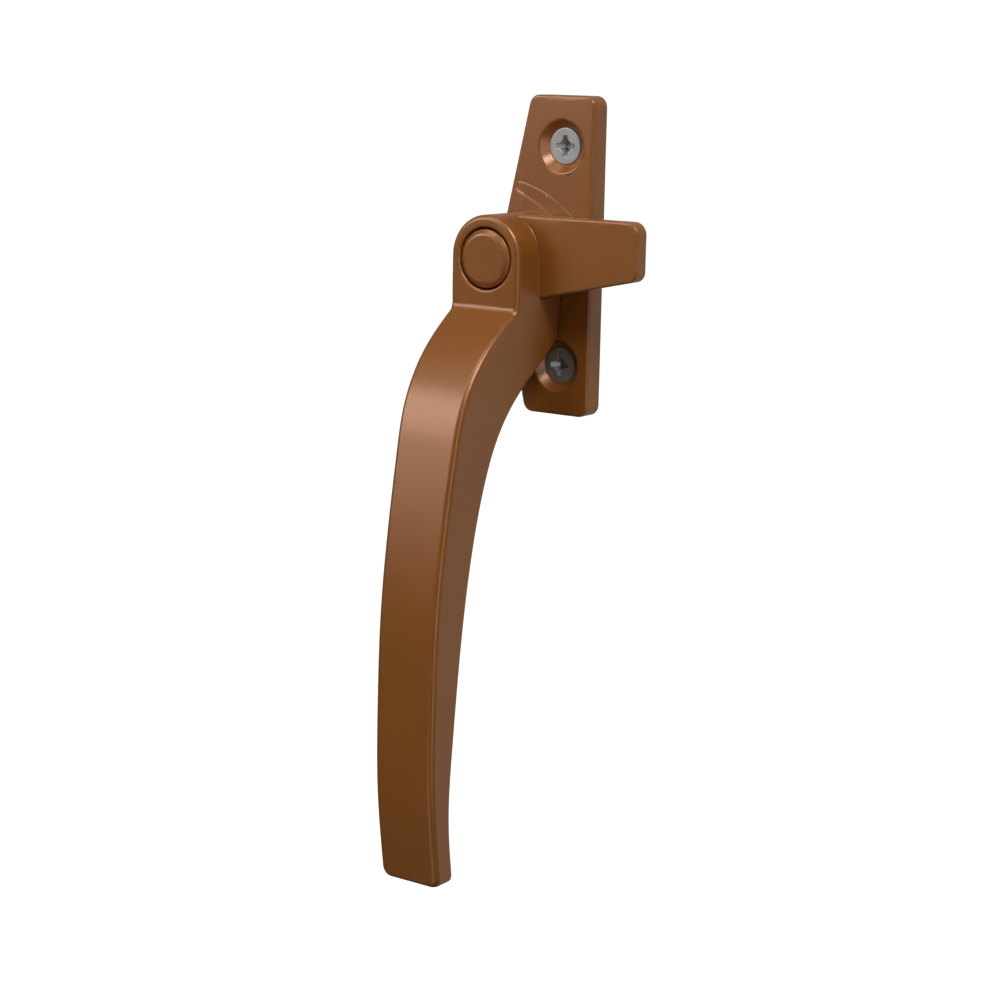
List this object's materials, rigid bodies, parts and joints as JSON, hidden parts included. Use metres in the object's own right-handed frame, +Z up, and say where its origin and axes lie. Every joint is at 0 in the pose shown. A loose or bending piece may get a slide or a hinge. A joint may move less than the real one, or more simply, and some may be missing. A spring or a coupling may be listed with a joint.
{
  "type": "cockspur window handle",
  "caption": "Lever handle with a locking nose, pivoting on a screw-fixed base plate, with a push button in its hub that locks it.",
  "frame": {"origin": "midway between the two fixing holes, on the back face that lies against the window sash", "axes": "+Z up the window, -Y towards the user in the room, +Y into the sash, +X towards the nose's tip with the handle closed"},
  "size_m": [0.0392, 0.0524, 0.1525],
  "materials": {
    "bronze_powder_coat": "satin metallic bronze powder coat on a zinc die casting",
    "zinc_plated_steel": "bright zinc plate",
    "spring_steel": "oiled spring steel",
    "nylon": "natural nylon"
  },
  "bodies": {
    "base": {"base_plate": "bronze_powder_coat", "keeper_plate": "zinc_plated_steel", "wave_washer": "spring_steel", "upper_fixing_screw": "zinc_plated_steel", "lower_fixing_screw": "zinc_plated_steel"},
    "handle": {"handle_casting": "bronze_powder_coat", "thrust_washer": "nylon", "retaining_washer": "zinc_plated_steel", "spigot_circlip": "spring_steel", "button_spring": "spring_steel"},
    "button": {"push_button": "bronze_powder_coat", "lock_key": "zinc_plated_steel", "key_clip": "spring_steel"}
  },
  "joints": [
    {"name": "handle_turn", "type": "hinge", "parent": "base", "child": "handle", "pos_m": [-0.0077, 0, 0], "axis": [0, 1, 0], "range_deg": [0, 90]},
    {"name": "button_press", "type": "slide", "parent": "handle", "child": "button", "axis": [0, 1, 0], "range_m": [0, 0.0022], "stiffness_N_per_m": 1000, "springref_m": -0.002, "deforming": ["button_spring"]}
  ]
}
